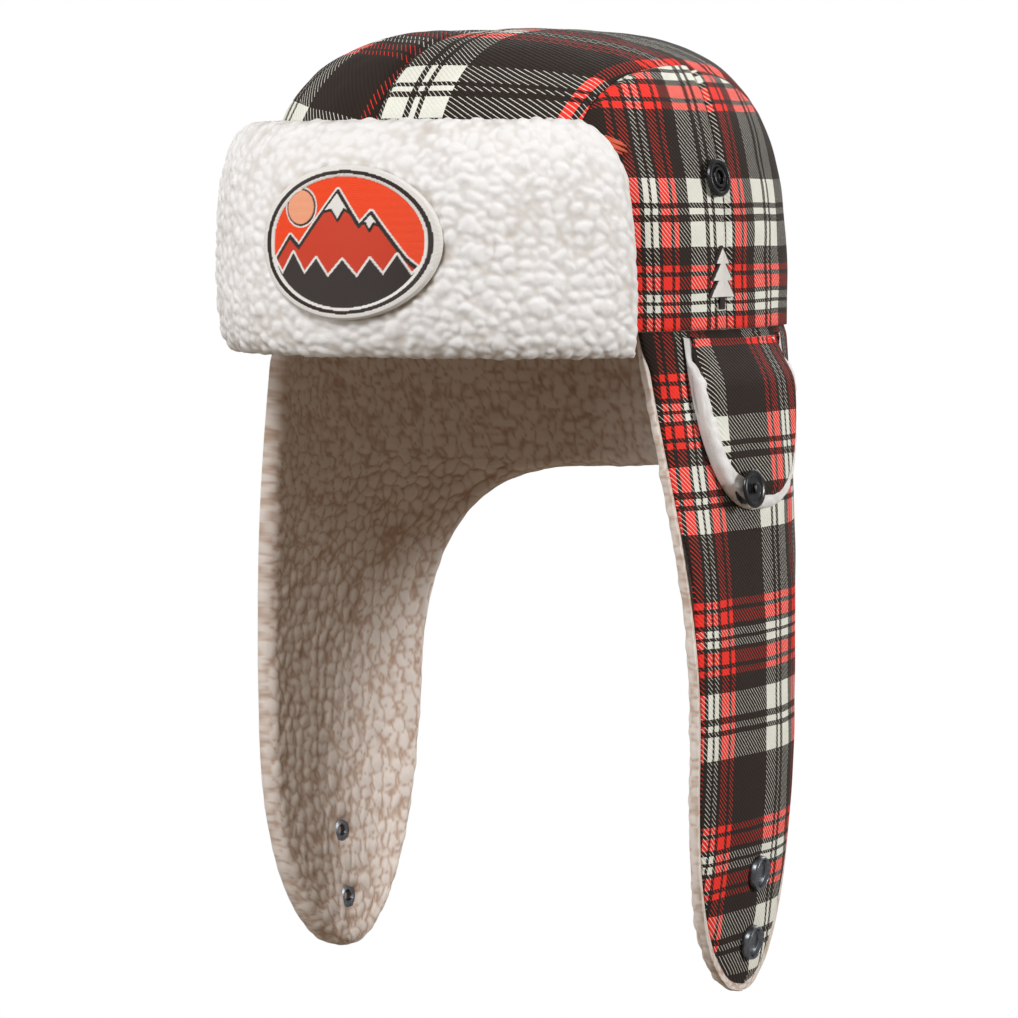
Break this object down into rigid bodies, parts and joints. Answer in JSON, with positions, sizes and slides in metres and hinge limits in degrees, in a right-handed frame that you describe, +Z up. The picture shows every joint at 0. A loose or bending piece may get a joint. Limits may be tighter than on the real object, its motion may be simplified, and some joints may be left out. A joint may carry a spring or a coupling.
{
  "type": "trapper hat",
  "caption": "Trapper hat with a seamed dome crown, folded-up fleece visor, fleece-lined ear flaps with snaps and a small snap hatch over each ear.",
  "frame": {"origin": "centre of the head opening, in the plane of the crown's lower edge", "axes": "+Z up out of the crown, -Y the way the wearer faces, +X the wearer's left"},
  "size_m": [0.2278, 0.2455, 0.377],
  "materials": {
    "plaid_twill": "brushed cotton twill in a red, cream and brown plaid",
    "fleece": "curly off-white pile fleece",
    "stiffener": "felted interlining",
    "thread": "orange sewing thread",
    "emblem": "embroidered satin stitch in orange, white and dark brown",
    "side_emblem": "flat embroidery in off-white thread",
    "black_snap": "glossy black enamel on brass",
    "grey_snap": "gunmetal plating, polished"
  },
  "bodies": {
    "crown": {"left_crown_centre_panel": "plaid_twill", "right_crown_centre_panel": "plaid_twill", "left_crown_front_panel": "plaid_twill", "right_crown_front_panel": "plaid_twill", "left_crown_rear_panel": "plaid_twill", "right_crown_rear_panel": "plaid_twill", "crown_lining_centre": "fleece", "left_crown_lining_side": "fleece", "right_crown_lining_side": "fleece", "visor_back_panel": "plaid_twill", "visor_stiffener": "stiffener", "visor_fleece": "fleece", "left_visor_tack": "thread", "right_visor_tack": "thread", "visor_emblem": "emblem", "side_emblem": "side_emblem", "left_band_shell": "plaid_twill", "right_band_shell": "plaid_twill", "left_band_lining": "fleece", "right_band_lining": "fleece", "left_crown_snap_socket": "black_snap", "right_crown_snap_socket": "black_snap", "left_crown_snap_post": "grey_snap", "right_crown_snap_post": "grey_snap"},
    "left_flap": {"left_flap_shell": "plaid_twill", "left_flap_lining": "fleece", "left_flap_upper_cap": "grey_snap", "left_flap_upper_socket": "grey_snap", "left_flap_lower_cap": "grey_snap", "left_flap_lower_socket": "grey_snap"},
    "left_hatch": {"left_hatch_shell": "plaid_twill", "left_hatch_lining": "fleece", "left_hatch_snap_stud": "black_snap", "left_hatch_snap_post": "grey_snap"},
    "right_flap": {"right_flap_shell": "plaid_twill", "right_flap_lining": "fleece", "right_flap_upper_stud": "grey_snap", "right_flap_upper_post": "grey_snap", "right_flap_lower_stud": "grey_snap", "right_flap_lower_post": "grey_snap"},
    "right_hatch": {"right_hatch_shell": "plaid_twill", "right_hatch_lining": "fleece", "right_hatch_snap_stud": "black_snap", "right_hatch_snap_post": "grey_snap"}
  },
  "joints": [
    {"name": "left_flap_fold", "type": "hinge", "parent": "crown", "child": "left_flap", "pos_m": [0.10648, 0, -0.095], "axis": [0, -1, 0], "range_deg": [-25, 150]},
    {"name": "right_flap_fold", "type": "hinge", "parent": "crown", "child": "right_flap", "pos_m": [-0.10648, 0, -0.095], "axis": [0, 1, 0], "range_deg": [-25, 150]},
    {"name": "left_hatch_fold", "type": "hinge", "parent": "crown", "child": "left_hatch", "pos_m": [0.10555, 0, -0.0015], "axis": [0, -1, 0], "range_deg": [0, 178]},
    {"name": "right_hatch_fold", "type": "hinge", "parent": "crown", "child": "right_hatch", "pos_m": [-0.10555, 0, -0.0015], "axis": [0, 1, 0], "range_deg": [0, 178]}
  ]
}
